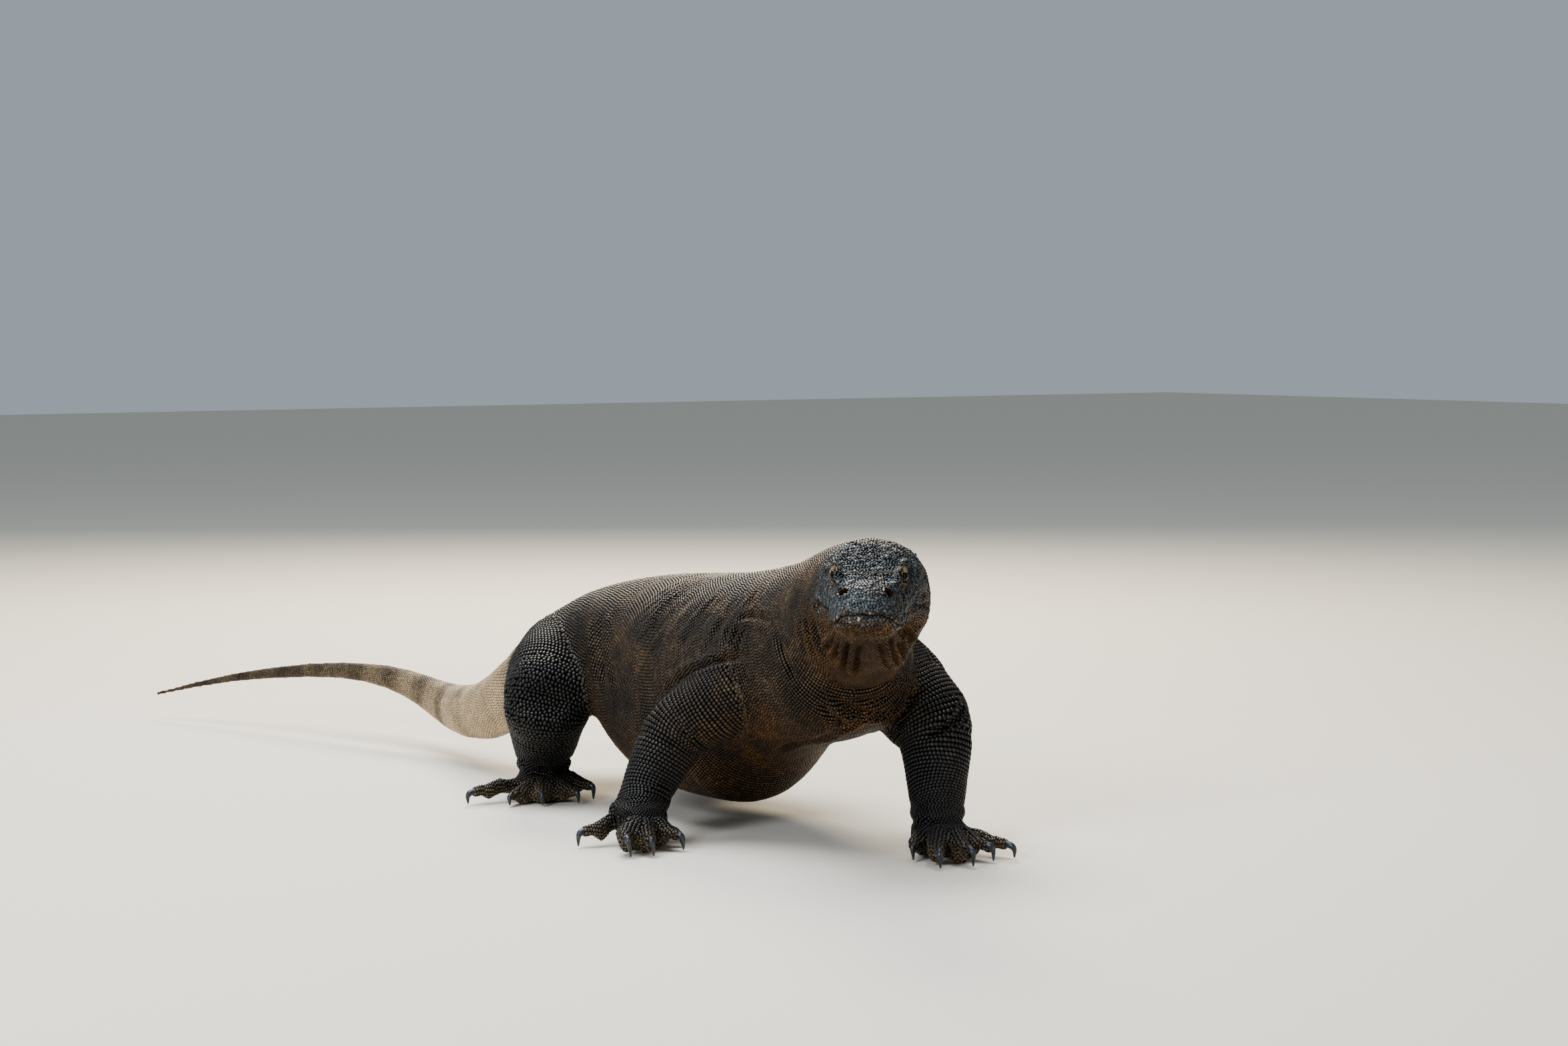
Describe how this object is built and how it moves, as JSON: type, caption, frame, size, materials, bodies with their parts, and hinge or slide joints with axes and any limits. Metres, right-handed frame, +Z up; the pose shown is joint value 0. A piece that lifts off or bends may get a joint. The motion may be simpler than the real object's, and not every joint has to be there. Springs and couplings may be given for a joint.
{
  "type": "komodo dragon model",
  "caption": "Life-size komodo dragon standing with bent legs, belly low, head raised and turned to its right, mouth closed, tail held out behind.",
  "frame": {"origin": "on the floor, at the middle of the footprint of the whole animal", "axes": "+Z up; the animal faces -Y and its tail runs to +Y; its right side is on -X"},
  "size_m": [0.7047, 2.4209, 0.4895],
  "materials": {
    "head_hide": "slate-grey scaly hide with brown tints, dry and slightly waxy",
    "body_hide": "dark brown-grey beaded hide, dry, with tan flecks along the folds",
    "leg_hide": "bluish charcoal scaly hide with a soft sheen",
    "foot_hide": "dusty brown-grey scaly hide",
    "tail_hide": "sandy tan ringed hide fading to brown-grey",
    "claw_horn": "blue-black horn, worn smooth",
    "eye": "dark brown wet eye"
  },
  "bodies": {
    "root": {"head": "head_hide", "lower_jaw": "head_hide", "neck": "body_hide", "chest": "body_hide", "belly": "body_hide", "hips": "body_hide", "tail_root": "tail_hide", "tail_middle": "tail_hide", "tail_end": "tail_hide", "tail_tip": "tail_hide", "eye_left": "eye", "eye_right": "eye", "upper_arm_right": "leg_hide", "forearm_right": "leg_hide", "hand_right": "foot_hide", "thigh_right": "leg_hide", "shin_right": "leg_hide", "foot_right": "foot_hide", "upper_arm_left": "leg_hide", "forearm_left": "leg_hide", "hand_left": "foot_hide", "thigh_left": "leg_hide", "shin_left": "leg_hide", "foot_left": "foot_hide", "claw_front_right_1": "claw_horn", "claw_front_right_2": "claw_horn", "claw_front_right_3": "claw_horn", "claw_front_right_4": "claw_horn", "claw_front_right_5": "claw_horn", "claw_front_left_1": "claw_horn", "claw_front_left_2": "claw_horn", "claw_front_left_3": "claw_horn", "claw_front_left_4": "claw_horn", "claw_front_left_5": "claw_horn", "claw_hind_right_1": "claw_horn", "claw_hind_right_2": "claw_horn", "claw_hind_right_3": "claw_horn", "claw_hind_right_4": "claw_horn", "claw_hind_right_5": "claw_horn", "claw_hind_left_1": "claw_horn", "claw_hind_left_2": "claw_horn", "claw_hind_left_3": "claw_horn", "claw_hind_left_4": "claw_horn", "claw_hind_left_5": "claw_horn"}
  },
  "joints": []
}
